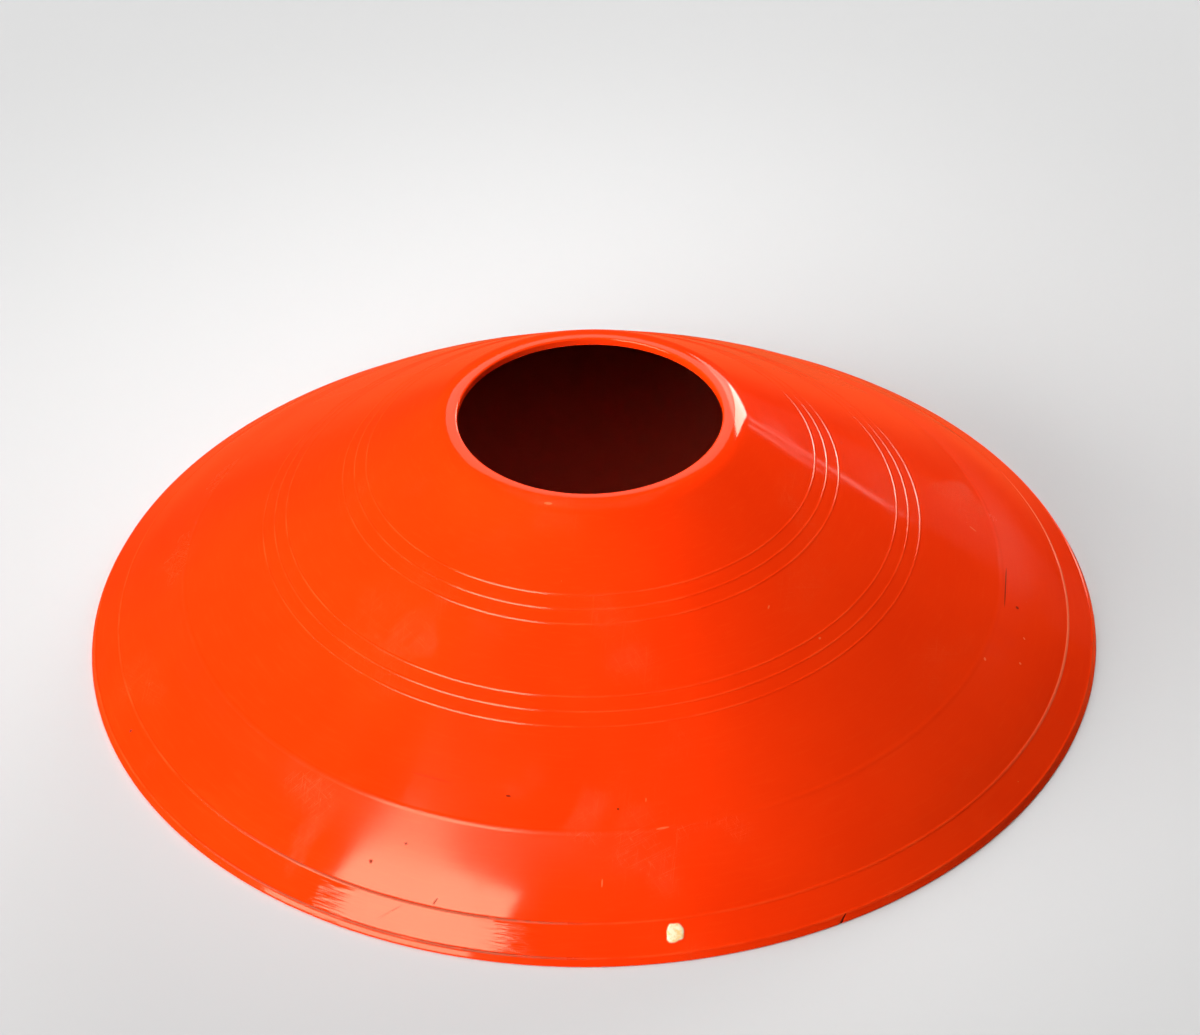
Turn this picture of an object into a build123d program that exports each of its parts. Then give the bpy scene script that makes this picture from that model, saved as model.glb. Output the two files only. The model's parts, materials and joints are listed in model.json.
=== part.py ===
from build123d import *
import os

# Saucer-type sports marker cone: one thin moulded shell, open below, with a carrying hole at the top.
# All sizes are in millimetres. The origin is the centre of the base circle, on the ground.

# Overall
base_diameter = 200.0
height = 50.5
wall = 1.4

# Hole and the flat-topped lip round it
hole_diameter = 51.0
lip_width = 3.2
lip_depth = 1.6
lip_outer_round = 7.0
lip_hole_round = 0.4

# Outer face from the ground inwards: turned-down edge, rim band, skirt up to the crease
edge_run = 0.9
edge_rise = 1.45
rim_run = 5.05
rim_rise = 3.75
skirt_run = 13.55
skirt_rise = 9.75

# Fine raised rings: two groups on the wall, one ring at each side of the rim band, a low one on the crease
ring_width = 0.5
ring_height = 0.055
ring_groups = 2
rings_per_group = 3
ring_pitch = 2.33
inner_group_diameter = 91.5
group_spacing = 16.1
rim_ring_width = 0.7
rim_ring_height = 0.08
crease_ring_width = 1.2
crease_ring_height = 0.035

# Corners of the outer face in the section plane, radius first and height second
hole_radius = hole_diameter / 2
foot = Vector(base_diameter / 2, 0)
edge = foot + Vector(-edge_run, edge_rise)
rim = edge + Vector(-rim_run, rim_rise)
crease = rim + Vector(-skirt_run, skirt_rise)
lip = Vector(hole_radius + lip_width, height)
outer_corners = [foot, edge, rim, crease, lip]


def inward(start, end):
    """Unit normal of a stretch of the outer face, pointing into the wall."""
    return (end - start).normalized().rotate(Axis.Z, 90)


def inner_corner(before, corner, after):
    """Corner of the inner face, one wall thickness in from a corner of the outer face."""
    first = inward(before, corner)
    second = inward(corner, after)
    return corner + (first + second) * (wall / (1 + first.dot(second)))


def at_height(point, along, level):
    """The point at a given height on the line through a point, in a given direction."""
    return point + along * ((level - point.Y) / along.Y)


def on_outer_face(radius):
    """The outer face's point at a radius and the way into the wall there, midway between both sides at a corner."""
    into = Vector(0, 0)
    for start, end in zip(outer_corners, outer_corners[1:]):
        if end.X <= radius <= start.X:
            along = end - start
            point = start + along * ((radius - start.X) / along.X)
            into = into + inward(start, end)
    return point, into.normalized()


def ring_section(radius, width, proud):
    """A ring's section: a round back that stands proud of the outer face, on a foot of its width in the wall."""
    point, into = on_outer_face(radius)
    side = into.rotate(Axis.Z, 90) * (width / 2)
    foot_depth = into * (wall / 2)
    with BuildLine() as outline:
        ThreePointArc(point - side, point - into * proud, point + side)
        Polyline(point + side, point + side + foot_depth, point - side + foot_depth, point - side)
    make_face(outline.edges())


# Corners of the inner face and of the lip
inner_rim = inner_corner(edge, rim, crease)
inner_crease = inner_corner(rim, crease, lip)
inner_foot = at_height(inner_rim, edge - rim, 0)
lip_under = at_height(inner_crease, lip - crease, height - lip_depth)
hole_top = Vector(hole_radius, height)
hole_low = Vector(hole_radius, height - lip_depth)

# The moulding: its section turned about the axis
with BuildPart() as cone_shell:
    with BuildSketch(Plane.XZ) as section:
        with BuildLine():
            Polyline(
                *outer_corners,
                hole_top,
                hole_low,
                lip_under,
                inner_crease,
                inner_rim,
                inner_foot,
                close=True,
            )
        make_face()
        for group in range(ring_groups):
            middle_radius = inner_group_diameter / 2 + group * group_spacing
            for number in range(rings_per_group):
                step = number - (rings_per_group - 1) / 2
                ring_section(middle_radius + step * ring_pitch, ring_width, ring_height)
        for rim_corner in (rim, edge):
            ring_section(rim_corner.X, rim_ring_width, rim_ring_height)
        ring_section(crease.X, crease_ring_width, crease_ring_height)
    revolve(axis=Axis.Z)
    lip_edges = cone_shell.edges().group_by(Axis.Z)[-1].sort_by(SortBy.RADIUS)
    fillet(lip_edges[-1], lip_outer_round)
    hole_edges = cone_shell.edges().group_by(Axis.Z)[-1].sort_by(SortBy.RADIUS)
    fillet(hole_edges[0], lip_hole_round)

os.makedirs("parts", exist_ok=True)
cone_shell.part.label = "cone_shell"
export_step(cone_shell.part, "parts/cone_shell.step")
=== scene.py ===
"""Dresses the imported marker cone: a turned shell with rings and wear, one plastic, studio light, a camera."""

import json
import math

import bmesh
import bpy
from mathutils import Matrix, Vector

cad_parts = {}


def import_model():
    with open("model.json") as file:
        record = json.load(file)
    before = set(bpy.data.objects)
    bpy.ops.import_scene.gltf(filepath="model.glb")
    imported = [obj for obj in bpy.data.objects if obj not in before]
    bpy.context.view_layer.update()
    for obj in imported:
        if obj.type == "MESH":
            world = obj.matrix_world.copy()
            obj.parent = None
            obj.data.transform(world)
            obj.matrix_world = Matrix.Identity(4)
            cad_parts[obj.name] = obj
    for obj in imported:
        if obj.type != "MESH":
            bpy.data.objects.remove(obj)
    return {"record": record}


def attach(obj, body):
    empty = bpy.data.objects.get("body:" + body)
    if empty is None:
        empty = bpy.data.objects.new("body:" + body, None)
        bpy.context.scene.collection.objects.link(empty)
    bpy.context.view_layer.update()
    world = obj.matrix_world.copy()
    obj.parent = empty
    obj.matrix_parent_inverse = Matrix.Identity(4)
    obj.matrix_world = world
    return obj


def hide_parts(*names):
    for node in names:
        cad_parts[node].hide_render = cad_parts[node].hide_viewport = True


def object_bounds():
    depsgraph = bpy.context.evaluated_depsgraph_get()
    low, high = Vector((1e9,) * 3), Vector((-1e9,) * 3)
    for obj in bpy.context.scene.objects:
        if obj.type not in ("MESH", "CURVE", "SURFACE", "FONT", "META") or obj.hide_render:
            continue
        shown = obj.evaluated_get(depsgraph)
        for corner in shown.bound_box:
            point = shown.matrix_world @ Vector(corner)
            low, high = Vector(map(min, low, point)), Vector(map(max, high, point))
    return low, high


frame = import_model()
cad_low, cad_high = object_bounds()

# Sizes in metres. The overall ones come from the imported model, the rest repeat the moulding's own sizes.
MM = 0.001
mounts = {mount["name"]: mount for mount in frame["record"]["mounts"]}
base_radius = cad_high.x
height = cad_high.z
hole_radius = mounts["top_hole"]["dims"]["r_mm"] * MM
wall = 1.4 * MM
lip_width = 3.2 * MM
lip_depth = 1.6 * MM
lip_outer_round = 7.0 * MM
lip_hole_round = 0.4 * MM
small_round = 0.18 * MM
edge_run, edge_rise = 0.9 * MM, 1.45 * MM
rim_run, rim_rise = 5.05 * MM, 3.75 * MM
skirt_run, skirt_rise = 13.55 * MM, 9.75 * MM
ring_width, ring_height = 0.5 * MM, 0.055 * MM
rings_per_group = 3
ring_pitch = 2.33 * MM
group_radii = (45.75 * MM, 61.85 * MM)
crease_radius = base_radius - edge_run - rim_run - skirt_run
rim_ring_width, rim_ring_height = 0.7 * MM, 0.08 * MM
crease_ring_width, crease_ring_height = 1.2 * MM, 0.035 * MM

# The skirt is crowned a little, except at one flat spot. Azimuths, here and below, are 0 towards the camera
# and grow to the right.
skirt_crown = 0.2 * MM
flat_azimuth, flat_reach = math.radians(-24.0), math.radians(9.0)

# Wear that has a shape: a dried fleck on the rim band and a crack in the turned-down edge
fleck_azimuth, fleck_radius = math.radians(8.3), 96.1 * MM
fleck_half_width, fleck_half_length = 1.48 * MM, 1.75 * MM
fleck_height = 0.16 * MM
crack_top_azimuth, crack_foot_azimuth = math.radians(27.0), math.radians(26.0)
crack_half_width, crack_depth = 0.34 * MM, 0.4 * MM

# Wear, painted shade and a painted highlight that only colour or roughen the surface: spans of radius in
# metres and of azimuth in degrees, over which they come in or go out
rim_rings_in = (93.0 * MM, 93.4 * MM)
rim_ring_out = (95.2 * MM, 94.8 * MM)
rim_band_in = (94.0 * MM, 95.0 * MM)
haze_in, haze_out = (80.0 * MM, 80.6 * MM), (93.0 * MM, 82.0 * MM)
rough_grime_in = (84.0 * MM, 85.0 * MM)
crease_clear = (0.6 * MM, 1.0 * MM)
# Azimuths over which the painted shade line on the rim and edge rings comes in and goes out, about the
# front-left highlight
shade_line_in, shade_line_out = (-54.0, -35.0), (5.0, -12.0)
# Azimuths over which the painted highlight on the rim ring's crest comes in and goes out
rim_highlight_in, rim_highlight_out = (48.0, 82.0), (120.0, 104.0)
torn_azimuths, torn_reach = (-30.5, -8.5), (3.5, 1.0)

# Colours of the plastic, of its wear, and of painted shade and a painted highlight
plastic_deep, plastic_bright = (0.93, 0.0325, 0.0011, 1), (0.97, 0.0375, 0.0015, 1)
flow_colour = (0.99, 0.06, 0.006, 1)
rubbed_colour = (1.0, 0.11, 0.02, 1)
# Painted highlight: the pale colour of the rim ring's crest on the right side
rim_highlight_colour = (1.0, 0.2, 0.085, 1)
scratch_colour = (1.0, 0.12, 0.03, 1)
dust_colour = (1.0, 0.34, 0.12, 1)
# Colour of grime specks and dark marks, one of which is a painted shade line
grime_and_shade_colour = (0.09, 0.006, 0.002, 1)
# Painted shade: the dark line on the rim and edge rings across the highlight at the front left
shade_line_colour = (0.24, 0.024, 0.005, 1)
# Painted shade: the dark inside of the crack
crack_shade_colour = (0.1, 0.002, 0.001, 1)
fleck_deep, fleck_bright = (0.93, 0.6, 0.24, 1), (0.98, 0.86, 0.58, 1)
gloss_tint = (1.0, 0.82, 0.55, 1)

# Stage: the floor's sizes in metres, its paint, the even background that it turns into, and the world
under_radius, cove_from, cove_round, backdrop_height = 0.0992, 1.7, 0.6, 1.6
floor_segments = 96
# The disc under the cone is painted a little darker than the floor: painted shade inside the cone
floor_paint, under_shade_paint = (0.62, 0.62, 0.62, 1), (0.55, 0.55, 0.55, 1)
even_from, even_to, even_level = 0.15, 0.42, 0.78
dim_world, warm_ground = (0.02, 0.02, 0.02, 1), (0.75, 0.13, 0.04, 1)
ground_below = (-0.05, -0.3)

# Mesh spacing
plain_step = 3.0 * MM
fine_step = 0.2 * MM
guard_step = 0.05 * MM
ring_steps = 4
round_step = math.radians(10)
column_step = math.radians(1.0)
fine_column_step = math.radians(0.08)

# Camera: the eye and the point it looks at, in metres, and how far the picture leans
eye = Vector((1.62, -593.84, 474.40)) * MM
aim = Vector((1.62, 0.0, 25.45)) * MM
lean = math.radians(-0.931)
lens = 114.0
sensor = 36.0


def smooth(low, high, value):
    """0 before low and 1 after high, with a soft step between. It falls where low is the larger."""
    share = min(1.0, max(0.0, (value - low) / (high - low)))
    return share * share * (3 - 2 * share)


def corners():
    """The section's corners with their roundings: up the outside from the foot, over the lip, down inside."""
    foot = Vector((base_radius, 0))
    edge = foot + Vector((-edge_run, edge_rise))
    rim = edge + Vector((-rim_run, rim_rise))
    crease = rim + Vector((-skirt_run, skirt_rise))
    lip = Vector((hole_radius + lip_width, height))

    def inward(start, end):
        along = (end - start).normalized()
        return Vector((-along.y, along.x))

    def inner_corner(before, corner, after):
        first, second = inward(before, corner), inward(corner, after)
        return corner + (first + second) * (wall / (1 + first.dot(second)))

    def at_height(point, along, level):
        return point + along * ((level - point.y) / along.y)

    inner_rim = inner_corner(edge, rim, crease)
    inner_crease = inner_corner(rim, crease, lip)
    return [
        (foot, small_round),
        (edge, small_round),
        (rim, small_round),
        (crease, small_round),
        (lip, lip_outer_round),
        (Vector((hole_radius, height)), lip_hole_round),
        (Vector((hole_radius, height - lip_depth)), small_round),
        (at_height(inner_crease, lip - crease, height - lip_depth), small_round),
        (inner_crease, small_round),
        (inner_rim, small_round),
        (at_height(inner_rim, edge - rim, 0), small_round),
    ]


class Section:
    """The closed section as a path: straight runs joined by small arcs, with the fine rings raised on it."""

    def __init__(self, points):
        self.pieces = []
        self.corner_at = []
        count = len(points)
        ends = []
        for i, (point, rounding) in enumerate(points):
            before = (point - points[i - 1][0]).normalized()
            after = (points[(i + 1) % count][0] - point).normalized()
            turn = math.atan2(before.cross(after), before.dot(after))
            cut = rounding * math.tan(abs(turn) / 2)
            ends.append((point - before * cut, point + after * cut, before, turn, rounding))
        travelled = 0.0
        for i, (start, end, before, turn, rounding) in enumerate(ends):
            arc = rounding * abs(turn)
            self.corner_at.append(travelled + arc / 2)
            self.pieces.append((travelled, arc, start, before, turn))
            travelled += arc
            following = ends[(i + 1) % count][0]
            run = (following - end).length
            self.pieces.append((travelled, run, end, (following - end).normalized(), 0.0))
            travelled += run
        self.rings = []
        self.fine_spans = []

    def place(self, at):
        """Point and outward normal at a distance along the path."""
        for start_at, run, start, along, turn in reversed(self.pieces):
            if at >= start_at:
                break
        done = at - start_at
        if turn == 0.0:
            return start + along * done, Vector((along.y, -along.x))
        rounding = run / abs(turn)
        swept = turn * done / run
        left = Vector((-along.y, along.x)) * math.copysign(1.0, turn)
        centre = start + left * rounding
        spoke = start - centre
        spoke.rotate(Matrix.Rotation(swept, 2))
        heading = along.copy()
        heading.rotate(Matrix.Rotation(swept, 2))
        return centre + spoke, Vector((heading.y, -heading.x))

    def at_radius(self, radius):
        """Distance along the path where the outer face has a radius."""
        for start_at, run, start, along, turn in self.pieces:
            done = (radius - start.x) / along.x if turn == 0.0 and along.x < 0 else -1.0
            if 0 <= done <= run:
                return start_at + done

    def raise_ring(self, at, width, proud):
        """A ring with a round back, centred at a distance along the path."""
        self.rings.append((at, width, proud))

    def relief(self, at):
        """How far the rings stand proud of the plain path here, and that as a share of the ring's height."""
        for centre, width, proud in self.rings:
            off = abs(at - centre)
            if off < width / 2:
                back = (width * width / 4 + proud * proud) / (2 * proud)
                stands = math.sqrt(back * back - off * off) - (back - proud)
                return stands, stands / proud
        return 0.0, 0.0

    def stations(self):
        """Distances along the path where the mesh has a row: close on arcs, rings and wear, wider elsewhere.
        A guard row beside each arc and ring keeps the shading of the plain runs flat."""
        found = []
        for start_at, run, _, _, turn in self.pieces:
            step = plain_step if turn == 0.0 else run * round_step / abs(turn)
            parts = max(1, math.ceil(run / step))
            found += [start_at + run * k / parts for k in range(parts)]
            if turn == 0.0:
                found += [start_at + guard_step, start_at + run - guard_step]
        for low, high in self.fine_spans:
            parts = math.ceil((high - low) / fine_step)
            found = [at for at in found if not low <= at <= high]
            found += [low + (high - low) * k / parts for k in range(parts + 1)]
        for centre, width, _ in self.rings:
            reach = width / 2 + guard_step
            found = [at for at in found if abs(at - centre) > reach + guard_step]
            found += [centre + width * k / (2 * ring_steps) for k in range(-ring_steps, ring_steps + 1)]
            found += [centre - reach, centre + reach]
        return sorted(found)


def cone_section():
    """The moulding's section with every ring in place."""
    section = Section(corners())
    _, edge_at, rim_at, crease_at = section.corner_at[:4]
    for middle in group_radii:
        for number in range(rings_per_group):
            radius = middle + (number - (rings_per_group - 1) / 2) * ring_pitch
            section.raise_ring(section.at_radius(radius), ring_width, ring_height)
    for corner_at in (edge_at, rim_at):
        section.raise_ring(corner_at, rim_ring_width, rim_ring_height)
    section.raise_ring(crease_at, crease_ring_width, crease_ring_height)
    section.fine_spans.append((0.0, rim_at))
    return section


class Crown:
    """The skirt's slight crowning, which fades out at the flat spot."""

    def __init__(self, section):
        self.low, self.high = section.corner_at[2:4]

    def stands(self, azimuth, at):
        climbed = (at - self.low) / (self.high - self.low)
        if not 0 <= climbed <= 1:
            return 0.0
        off = abs(azimuth - flat_azimuth)
        return skirt_crown * smooth(0.0, flat_reach, off) * 4 * climbed * (1 - climbed) * (1.5 - climbed)


class Fleck:
    """The dried fleck: a rounded block with an uneven outline."""

    def __init__(self, section):
        self.at = section.at_radius(fleck_radius)

    def share(self, azimuth, at):
        """1 on the fleck's top and 0 off it."""
        across = (azimuth - fleck_azimuth) * fleck_radius / fleck_half_width
        along = (at - self.at) / fleck_half_length
        turn = math.atan2(along, across)
        uneven = 1 + 0.07 * math.sin(2 * turn + 0.6) + 0.06 * math.sin(3 * turn + 2.0)
        uneven += 0.03 * math.sin(7 * turn)
        block = (abs(across) ** 3 + abs(along) ** 3) ** (1 / 3)
        return smooth(1.18, 0.7, block / uneven)

    def columns(self):
        """Where the mesh needs close columns for it."""
        reach = fleck_half_width * 1.3 / fleck_radius
        return fleck_azimuth - reach, fleck_azimuth + reach


class Crack:
    """The crack in the turned-down edge: a groove that leans, and widens and deepens towards the foot."""

    def __init__(self, section):
        self.top = section.corner_at[1]

    def share(self, azimuth, at):
        """1 along the crack's bottom at the foot and 0 off it."""
        climbed = at / self.top
        if not 0 <= climbed <= 1:
            return 0.0
        middle = crack_foot_azimuth + (crack_top_azimuth - crack_foot_azimuth) * climbed
        half_width = crack_half_width * (1 - 0.6 * climbed)
        off = abs(azimuth - middle) * base_radius
        return max(0.0, 1 - off / half_width) * (1 - 0.6 * climbed) * smooth(1.0, 0.9, climbed)

    def columns(self):
        """Where the mesh needs close columns for it."""
        reach = crack_half_width * 1.2 / base_radius
        return crack_foot_azimuth - reach, crack_top_azimuth + reach


def column_azimuths(fine_spans):
    """Azimuths of the mesh's columns: even all round, and close across the wear."""
    count = round(2 * math.pi / column_step)
    found = [2 * math.pi * k / count - math.pi for k in range(count)]
    for low, high in fine_spans:
        parts = math.ceil((high - low) / fine_column_step)
        found = [azimuth for azimuth in found if not low <= azimuth <= high]
        found += [low + (high - low) * k / parts for k in range(parts + 1)]
    return sorted(found)


def turned_shell(name, section):
    """Turns the section about the axis into one closed mesh, with the wear that has a shape."""
    crown, fleck, crack = Crown(section), Fleck(section), Crack(section)
    azimuths = column_azimuths([fleck.columns(), crack.columns()])
    outer_end = section.corner_at[4]
    rows = []
    for at in section.stations():
        point, normal = section.place(at)
        stands, crest = section.relief(at)
        rows.append((at, point + normal * stands, normal, crest))
    vertices = []
    wear = {"crest": [], "fleck": [], "crack": []}
    for azimuth in azimuths:
        for at, point, normal, crest in rows:
            on_face = at < outer_end
            on_fleck = fleck.share(azimuth, at) if on_face else 0.0
            in_crack = crack.share(azimuth, at) if on_face else 0.0
            moved = crown.stands(azimuth, at) + fleck_height * on_fleck - crack_depth * in_crack
            p = point + normal * moved
            vertices.append((math.sin(azimuth) * p.x, -math.cos(azimuth) * p.x, p.y))
            wear["crest"].append(crest)
            wear["fleck"].append(on_fleck)
            wear["crack"].append(in_crack)
    count = len(rows)
    faces = []
    for column in range(len(azimuths)):
        here, there = column * count, (column + 1) % len(azimuths) * count
        for row in range(count):
            above = (row + 1) % count
            faces.append((here + row, there + row, there + above, here + above))
    mesh = bpy.data.meshes.new(name)
    mesh.from_pydata(vertices, [], faces)
    mesh.shade_smooth()
    for kind, values in wear.items():
        mesh.attributes.new(kind, "FLOAT", "POINT").data.foreach_set("value", values)
    shell = bpy.data.objects.new(name, mesh)
    bpy.context.scene.collection.objects.link(shell)
    return shell


class Field:
    """A number that varies over a surface: sums, products and steps of it become nodes of the material."""

    def __init__(self, tree, socket):
        self.tree = tree
        self.socket = socket

    def maths(self, operation, *others):
        node = self.tree.nodes.new("ShaderNodeMath")
        node.operation = operation
        for slot, value in zip(node.inputs, (self, *others)):
            feed(self.tree, slot, value)
        return Field(self.tree, node.outputs[0])

    def __add__(self, other):
        return self.maths("ADD", other)

    def __sub__(self, other):
        return self.maths("SUBTRACT", other)

    def __mul__(self, other):
        return self.maths("MULTIPLY", other)

    def larger(self, other):
        return self.maths("MAXIMUM", other)

    def off(self, other):
        """How far this lies from another number, either way."""
        return self.maths("SUBTRACT", other).maths("ABSOLUTE")

    def step(self, low, high):
        """0 before low and 1 after high, with a soft step between. It falls where low is the larger."""
        node = self.tree.nodes.new("ShaderNodeMapRange")
        node.interpolation_type = "SMOOTHSTEP"
        falling = low > high
        feed(self.tree, node.inputs["Value"], self)
        node.inputs["From Min"].default_value = min(low, high)
        node.inputs["From Max"].default_value = max(low, high)
        node.inputs["To Min"].default_value = 1.0 if falling else 0.0
        node.inputs["To Max"].default_value = 0.0 if falling else 1.0
        return Field(self.tree, node.outputs["Result"])


def feed(tree, slot, value):
    """Gives a socket a plain value, or links what varies to it."""
    if isinstance(value, Field):
        tree.links.new(value.socket, slot)
    else:
        slot.default_value = value


def mixed(tree, share, below, above):
    """One colour laid over another."""
    node = tree.nodes.new("ShaderNodeMix")
    node.data_type = "RGBA"
    feed(tree, node.inputs[0], share)
    for slot, colour in ((node.inputs[6], below), (node.inputs[7], above)):
        feed(tree, slot, colour)
    return Field(tree, node.outputs[2])


class Surface:
    """Textures and marks of one material, all placed in the object's own frame."""

    def __init__(self, material):
        self.tree = material.node_tree
        coordinates = self.tree.nodes.new("ShaderNodeTexCoord")
        self.position = Field(self.tree, coordinates.outputs["Object"])
        parts = self.tree.nodes.new("ShaderNodeSeparateXYZ")
        feed(self.tree, parts.inputs[0], self.position)
        x, y, _ = (Field(self.tree, socket) for socket in parts.outputs)
        self.radius = (x * x + y * y).maths("SQRT")
        self.azimuth = x.maths("ARCTAN2", y * -1.0)

    def sector(self, rise, fall):
        """1 in a sector of the cone, which comes in and goes out over spans of azimuth, in degrees."""
        spans = [[math.radians(azimuth) for azimuth in span] for span in (rise, fall)]
        return self.azimuth.step(*spans[0]) * self.azimuth.step(*spans[1])

    def attribute(self, name):
        node = self.tree.nodes.new("ShaderNodeAttribute")
        node.attribute_name = name
        return Field(self.tree, node.outputs["Fac"])

    def stretched(self, turn, along, across):
        """Coordinates seen from above that are turned about the axis, then stretched: features come out as
        long as along and as wide as across, in metres."""
        node = self.tree.nodes.new("ShaderNodeMapping")
        node.vector_type = "TEXTURE"
        feed(self.tree, node.inputs["Vector"], self.position)
        node.inputs["Rotation"].default_value = (0, 0, math.radians(turn))
        node.inputs["Scale"].default_value = (along, across, along)
        return Field(self.tree, node.outputs["Vector"])

    def around(self, along, across):
        """Coordinates for features round the cone, as long as along and as wide as across, in metres."""
        node = self.tree.nodes.new("ShaderNodeCombineXYZ")
        feed(self.tree, node.inputs["X"], self.azimuth.maths("SINE") * (base_radius / along))
        feed(self.tree, node.inputs["Y"], self.radius * (1 / across))
        feed(self.tree, node.inputs["Z"], self.azimuth.maths("COSINE") * (base_radius / along))
        return Field(self.tree, node.outputs["Vector"])

    def noise(self, vector, scale=1.0, detail=2.0, roughness=0.5):
        """Cloudy noise about 0.5, with features of 1 / scale."""
        node = self.tree.nodes.new("ShaderNodeTexNoise")
        feed(self.tree, node.inputs["Vector"], vector)
        node.inputs["Scale"].default_value = scale
        node.inputs["Detail"].default_value = detail
        node.inputs["Roughness"].default_value = roughness
        return Field(self.tree, node.outputs["Fac"])

    def specks(self, spacing, size, share):
        """Round specks up to a size across on some of the cells of a random grid."""
        node = self.tree.nodes.new("ShaderNodeTexVoronoi")
        feed(self.tree, node.inputs["Vector"], self.position)
        node.inputs["Scale"].default_value = 1 / spacing
        chance = self.tree.nodes.new("ShaderNodeSeparateColor")
        self.tree.links.new(node.outputs["Color"], chance.inputs[0])
        chosen = Field(self.tree, chance.outputs["Red"]).step(1 - share, 1 - share * 0.6)
        grain = Field(self.tree, chance.outputs["Green"]) * 0.7 + 0.3
        near = Field(self.tree, node.outputs["Distance"]) - grain * (size / 2 / spacing)
        return near.step(0.0, -0.15 * size / spacing) * chosen

    def mark(self, azimuth, radius, half_long, half_wide, turn):
        """One small mark, in degrees and millimetres. A turn of 0 runs round the cone, 90 up its slope."""
        a, t = math.radians(azimuth), math.radians(turn)
        out = Vector((math.sin(a), -math.cos(a), 0))
        around = Vector((math.cos(a), math.sin(a), 0))
        middle = out * (radius * MM)
        lengthwise = (around * math.cos(t) - out * math.sin(t)) / (half_long * MM)
        crosswise = (around * math.sin(t) + out * math.cos(t)) / (half_wide * MM)
        offset = self.tree.nodes.new("ShaderNodeVectorMath")
        offset.operation = "SUBTRACT"
        feed(self.tree, offset.inputs[0], self.position)
        offset.inputs[1].default_value = middle
        far = []
        for way in (lengthwise, crosswise):
            measured = self.tree.nodes.new("ShaderNodeVectorMath")
            measured.operation = "DOT_PRODUCT"
            self.tree.links.new(offset.outputs[0], measured.inputs[0])
            measured.inputs[1].default_value = way
            far.append(Field(self.tree, measured.outputs["Value"]))
        return (far[0] * far[0] + far[1] * far[1]).step(1.1, 0.6)

    def mixed(self, share, below, above):
        return mixed(self.tree, share, below, above)

    def bump(self, relief):
        """Fine relief, in metres."""
        node = self.tree.nodes.new("ShaderNodeBump")
        node.inputs["Strength"].default_value = 1.0
        node.inputs["Distance"].default_value = 1.0
        feed(self.tree, node.inputs["Height"], relief)
        return Field(self.tree, node.outputs["Normal"])


# Small marks, in degrees and millimetres: azimuth, radius, half length, half width, turn
pale_marks = [
    (-16.0, 29.0, 0.85, 0.28, 5),
    (8.6, 80.5, 1.3, 0.17, 3),
    (6.9, 75.9, 0.35, 0.15, 80),
    (0.6, 88.2, 0.7, 0.15, 85),
    (92.7, 75.4, 0.8, 0.25, 60),
    (70.5, 86.9, 0.3, 0.25, 0),
    (75.2, 86.2, 0.3, 0.2, 40),
    (66.7, 81.3, 0.4, 0.25, 20),
    (44.5, 60.2, 0.3, 0.2, 0),
    (39.0, 52.0, 0.45, 0.15, 30),
]
dark_marks_and_shade = [
    # Painted shade: the first dark mark is the shaded flank of the crease ring on the right; the others are
    # dirt
    (83.0, 81.3, 6.5, 0.12, 0),
    (80.1, 83.9, 0.4, 0.3, 0),
    (-18.3, 93.0, 0.75, 0.14, 62),
    (-27.2, 89.8, 0.35, 0.3, 0),
    (-23.8, 85.7, 0.3, 0.22, 20),
    (-12.1, 75.6, 0.5, 0.2, 0),
    (-67.7, 96.2, 0.4, 0.3, 10),
    (3.0, 77.0, 0.25, 0.2, 0),
]
faint_marks = [
    (-23.4, 75.1, 4.6, 0.17, 0),
    (-23.0, 96.1, 2.7, 0.1, 38),
]

# Scratches run three ways: turn in degrees, length and width in metres
scratch_ways = [(24, 22 * MM, 0.35 * MM), (-52, 16 * MM, 0.28 * MM), (81, 28 * MM, 0.4 * MM)]


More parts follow.
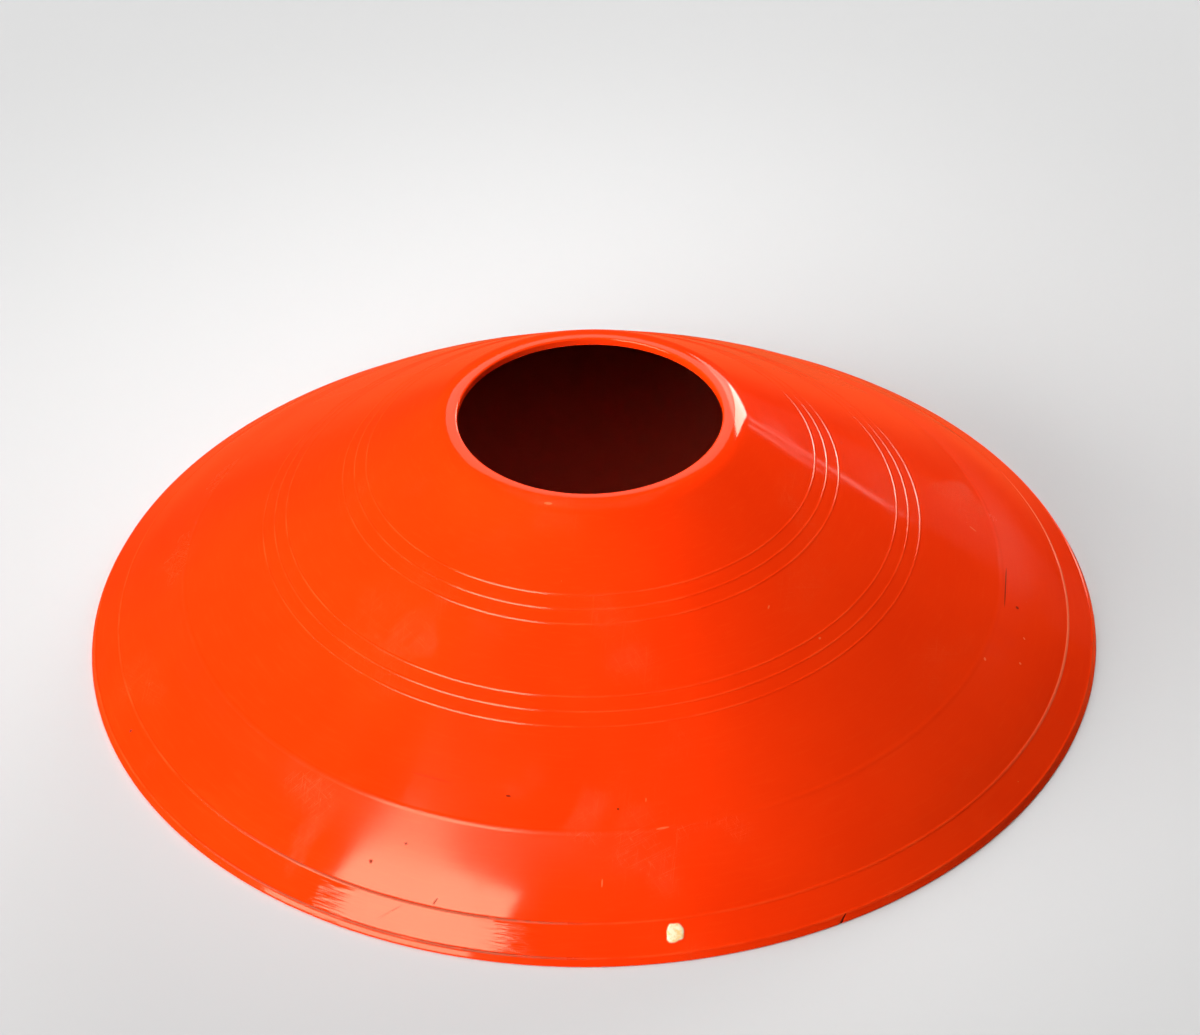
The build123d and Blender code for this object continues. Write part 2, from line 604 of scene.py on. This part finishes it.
def orange_plastic():
    """Glossy orange polyethylene with flow marks, faint scuffs, specks, and painted shade and highlight on
    rings and crack.
    """
    material = bpy.data.materials.new("orange_plastic")
    material.use_nodes = True
    surface = Surface(material)
    shader = material.node_tree.nodes["Principled BSDF"]
    shader.inputs["Specular IOR Level"].default_value = 0.55
    shader.inputs["Specular Tint"].default_value = gloss_tint

    cloud = surface.noise(surface.position, 38, 3)
    flow = surface.noise(surface.around(9 * MM, 0.5 * MM), 1, 3, 0.6)
    scuff_patch = surface.noise(surface.position, 60, 4, 0.6).step(0.52, 0.72)
    scratches = None
    for turn, along, across in scratch_ways:
        lines = surface.noise(surface.stretched(turn, along, across), 1, 1).off(0.5).step(0.012, 0.0)
        scratches = lines if scratches is None else scratches.larger(lines)
    scratches = scratches * surface.noise(surface.position, 45, 2).step(0.55, 0.7)
    dust = surface.specks(5 * MM, 0.35 * MM, 0.22)
    grime_and_shade = surface.specks(9 * MM, 0.4 * MM, 0.14)
    for mark in pale_marks:
        dust = dust.larger(surface.mark(*mark))
    for mark in dark_marks_and_shade:
        grime_and_shade = grime_and_shade.larger(surface.mark(*mark))
    for mark in faint_marks:
        grime_and_shade = grime_and_shade.larger(surface.mark(*mark) * 0.4)
    crest, fleck, crack = (surface.attribute(name) for name in ("crest", "fleck", "crack"))
    at_rim = surface.radius.step(*rim_rings_in)
    # Painted shade: the crests of the rim and edge rings are darkened only across the window's highlight at the
    # front left, where their flanks miss its reflection
    shade_line = crest.step(0.25, 0.7) * at_rim * surface.sector(shade_line_in, shade_line_out)
    shade_line = shade_line * (surface.noise(surface.position, 300, 2).step(0.25, 0.5) * 0.35 + 0.65)
    # Painted highlight: the rim ring's crest is paler only on the right side, where it catches the light from
    # the back right
    rim_highlight = crest.step(0.05, 0.5) * at_rim * surface.radius.step(*rim_ring_out)
    rim_highlight = rim_highlight * surface.sector(rim_highlight_in, rim_highlight_out)
    rubbed = crest.step(0.4, 1.0) * surface.radius.off(crease_radius).step(*crease_clear)
    rubbed = rubbed * surface.noise(surface.position, 160, 2).step(0.3, 0.75)

    colour = surface.mixed(cloud.step(0.3, 0.7), plastic_deep, plastic_bright)
    colour = surface.mixed(flow.step(0.5, 0.8) * 0.25, colour, flow_colour)
    colour = surface.mixed(rubbed * 0.35, colour, rubbed_colour)
    colour = surface.mixed(rim_highlight * 0.7, colour, rim_highlight_colour)
    colour = surface.mixed(scratches * 0.3, colour, scratch_colour)
    colour = surface.mixed(dust * 0.28, colour, dust_colour)
    # Grime and dark marks, with one painted shade line along the crease ring on the right
    colour = surface.mixed(grime_and_shade * 0.8, colour, grime_and_shade_colour)
    colour = surface.mixed(shade_line * 0.85, colour, shade_line_colour)
    # Painted shade: the crack's groove is painted dark over its walls
    colour = surface.mixed(crack.step(0.0, 0.12), colour, crack_shade_colour)
    dried = surface.noise(surface.position, 1300, 2).step(0.35, 0.65)
    colour = surface.mixed(fleck.step(0.1, 0.7), colour, surface.mixed(dried, fleck_deep, fleck_bright))
    feed(surface.tree, shader.inputs["Base Color"], colour)

    haze = surface.radius.step(*haze_out) * surface.radius.step(*haze_in)
    rough_grime = grime_and_shade * surface.radius.step(*rough_grime_in)
    roughness = cloud * 0.05 + 0.05 + scuff_patch * 0.08 + shade_line * 0.4 + crack * 0.5 + haze * 0.13
    roughness = roughness + scratches * 0.15 + dust * 0.15 + rough_grime * 0.5
    feed(surface.tree, shader.inputs["Roughness"], roughness.larger(fleck.step(0.3, 0.6) * 0.55))

    peel = surface.noise(surface.position, 420, 1)
    on_rim_band = surface.radius.step(*rim_band_in)
    streaks = surface.noise(surface.around(6 * MM, 0.45 * MM), 1, 2, 0.6)
    reach = [math.radians(degrees) for degrees in torn_reach]
    torn = None
    for azimuth in torn_azimuths:
        here = surface.azimuth.off(math.radians(azimuth)).step(*reach)
        torn = here if torn is None else torn.larger(here)
    relief = peel * 3.0e-6 + streaks * torn * on_rim_band * 100.0e-6
    relief = relief + flow * (on_rim_band * 14.0e-6 + 4.0e-6) - scratches * 4.0e-6
    feed(surface.tree, shader.inputs["Normal"], surface.bump(relief))
    return material


def matt_paint(name):
    """A paint without any gloss, and its shader."""
    material = bpy.data.materials.new(name)
    material.use_nodes = True
    shader = material.node_tree.nodes["Principled BSDF"]
    shader.inputs["Roughness"].default_value = 1.0
    shader.inputs["Specular IOR Level"].default_value = 0.0
    return material, shader


def pale_paint():
    """The floor's paint. Between two distances from the axis it turns from a lit surface, which keeps the
    cone's shadow, into an even pale background that lights nothing."""
    material, shader = matt_paint("floor")
    surface = Surface(material)
    share = surface.radius.step(even_from, even_to)
    colour = surface.mixed(share, floor_paint, (0, 0, 0, 1))
    feed(surface.tree, shader.inputs["Base Color"], colour)
    path = surface.tree.nodes.new("ShaderNodeLightPath")
    kinds = ("Is Camera Ray", "Is Glossy Ray", "Is Transmission Ray")
    rays = [Field(surface.tree, path.outputs[kind]) for kind in kinds]
    seen = rays[0].larger(rays[1]).larger(rays[2])
    shader.inputs["Emission Color"].default_value = (1, 1, 1, 1)
    feed(surface.tree, shader.inputs["Emission Strength"], share * seen * even_level)
    return material


def staged(name, shape, material):
    """Makes a piece of the stage from a shape."""
    mesh = bpy.data.meshes.new(name)
    shape.to_mesh(mesh)
    shape.free()
    mesh.shade_smooth()
    mesh.materials.append(material)
    piece = bpy.data.objects.new(name, mesh)
    bpy.context.scene.collection.objects.link(piece)
    return piece


def floor():
    """A plain pale floor that far out curves up into a backdrop. The photographed cone mirrors dark ground,
    so neither shows in the gloss. Only the inside of the cone mirrors the floor, as the disc under it."""
    outline = [(under_radius, 0.0), (0.25, 0.0), (0.6, 0.0), (cove_from, 0.0)]
    for degrees in range(10, 91, 10):
        swept = math.radians(degrees)
        outline.append((cove_from + cove_round * math.sin(swept), cove_round * (1 - math.cos(swept))))
    outline.append((cove_from + cove_round, backdrop_height))
    sweep = bmesh.new()
    rings = []
    for radius, level in outline:
        ways = [2 * math.pi * k / floor_segments for k in range(floor_segments)]
        rings.append([sweep.verts.new((radius * math.cos(w), radius * math.sin(w), level)) for w in ways])
    for inner, outer in zip(rings, rings[1:]):
        for k in range(floor_segments):
            after = (k + 1) % floor_segments
            sweep.faces.new((inner[k], outer[k], outer[after], inner[after]))
    ground = staged("floor", sweep, pale_paint())
    ground.visible_glossy = False
    ground.visible_shadow = False
    disc = bmesh.new()
    bmesh.ops.create_circle(disc, cap_ends=True, radius=under_radius, segments=floor_segments)
    paint, shader = matt_paint("floor_under")
    # Painted shade: the disc is a little darker than the floor, as the shade inside the cone
    shader.inputs["Base Color"].default_value = under_shade_paint
    staged("floor_under", disc, paint)


def towards(azimuth, elevation):
    """The way from the origin to a point of the studio, from azimuth and elevation in degrees."""
    a, e = math.radians(azimuth), math.radians(elevation)
    return Vector((math.sin(a) * math.cos(e), -math.cos(a) * math.cos(e), math.sin(e)))


def panel(name, place, facing, width, tall, radiance, colour=(1, 1, 1)):
    """A soft light panel that faces a way, with its lower edge level."""
    light = bpy.data.lights.new(name, "AREA")
    light.color = colour
    light.shape = "RECTANGLE"
    light.size, light.size_y = width, tall
    light.energy = radiance * math.pi * width * tall
    lamp = bpy.data.objects.new(name, light)
    lamp.location = place
    lamp.rotation_mode = "QUATERNION"
    lamp.rotation_quaternion = facing.to_track_quat("-Z", "Y")
    lamp.visible_camera = False
    bpy.context.scene.collection.objects.link(lamp)
    return lamp


def upright_panel(name, far, facing, left, right, low, high, radiance, colour=(1, 1, 1)):
    """An upright panel at a distance: the azimuth that it stands at and the angles it spans, in degrees."""
    out, along = towards(facing, 0), towards(facing + 90, 0)
    sides = [math.tan(math.radians(azimuth - facing)) * far for azimuth in (left, right)]
    levels = [math.tan(math.radians(elevation)) * far for elevation in (low, high)]
    place = out * far + along * (sum(sides) / 2)
    place.z = sum(levels) / 2
    return panel(name, place, -out, sides[1] - sides[0], levels[1] - levels[0], radiance, colour)


def world():
    """Dim light from all round. The gloss looks past the floor, and finds warm ground below the horizon."""
    surroundings = bpy.data.worlds.new("studio")
    surroundings.use_nodes = True
    tree = surroundings.node_tree
    coordinates = tree.nodes.new("ShaderNodeTexCoord")
    parts = tree.nodes.new("ShaderNodeSeparateXYZ")
    tree.links.new(coordinates.outputs["Generated"], parts.inputs[0])
    mirrored = Field(tree, tree.nodes.new("ShaderNodeLightPath").outputs["Is Glossy Ray"])
    ground = Field(tree, parts.outputs["Z"]).step(*ground_below) * mirrored
    background = tree.nodes["Background"]
    feed(tree, background.inputs["Color"], mixed(tree, ground, dim_world, warm_ground))
    background.inputs["Strength"].default_value = 1.0
    bpy.context.scene.world = surroundings


def studio():
    """Soft light: a window at the front left, a lamp overhead, and lower light from the back right. Some
    panels light the plastic and don't show in its gloss, and the others only show there."""
    unmirrored = [
        upright_panel("key", 1.4, -60, -100, -20, 6, 32, 10.6),
        panel("overhead", Vector((0, 0.06, 0.28)), Vector((0, 0, -1)), 0.16, 0.16, 8.4),
        panel("back_fill", towards(150, 15) * 1.3, -towards(150, 15), 0.5, 0.5, 17.0),
    ]
    for lamp in unmirrored:
        lamp.visible_glossy = False
    warm = (1.0, 0.96, 0.92)
    mirrored = [
        upright_panel("window", 1.4, -32, -68, -25, 38, 61.6, 8.2),
        upright_panel("window_low", 1.4, -32, -68, -25, 10, 38, 6.5),
        upright_panel("back_window", 1.2, 156, 146, 161, 16.5, 36, 10.0, warm),
        upright_panel("back_window_far", 1.2, 156, 161, 170, 16.5, 36, 2.2, warm),
        upright_panel("back_low", 1.2, 146, 126, 166, 0.2, 8, 0.03, warm),
        upright_panel("back_middle", 1.2, 146, 130, 166, 0.2, 11, 0.03, warm),
        upright_panel("upper_strip", 1.2, 142, 137.5, 147, 15.6, 16.4, 1.6),
        upright_panel("lower_strip", 1.2, 142, 137.5, 147, 12.6, 13.4, 1.6),
        panel("back_high", towards(180, 38) * 1.2, -towards(180, 38), 0.6, 0.45, 1.2),
    ]
    for lamp in mirrored:
        lamp.visible_diffuse = False
    world()


def camera():
    """The photograph's view."""
    data = bpy.data.cameras.new("camera")
    data.lens, data.sensor_width, data.sensor_fit = lens, sensor, "HORIZONTAL"
    data.clip_start, data.clip_end = 0.01, 50
    forward = (aim - eye).normalized()
    right = Vector((1, 0, 0))
    up = right.cross(forward)
    leaned_right = right * math.cos(lean) + up * math.sin(lean)
    leaned_up = up * math.cos(lean) - right * math.sin(lean)
    turn = Matrix((leaned_right, leaned_up, -forward)).transposed()
    made = bpy.data.objects.new("camera", data)
    made.matrix_world = Matrix.Translation(eye) @ turn.to_4x4()
    bpy.context.scene.collection.objects.link(made)
    bpy.context.scene.camera = made


shell = turned_shell("cone_moulding", cone_section())
shell.data.materials.append(orange_plastic())
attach(shell, "root")
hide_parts("cone_shell")

floor()
studio()
camera()
bpy.context.scene.view_settings.view_transform = "Standard"
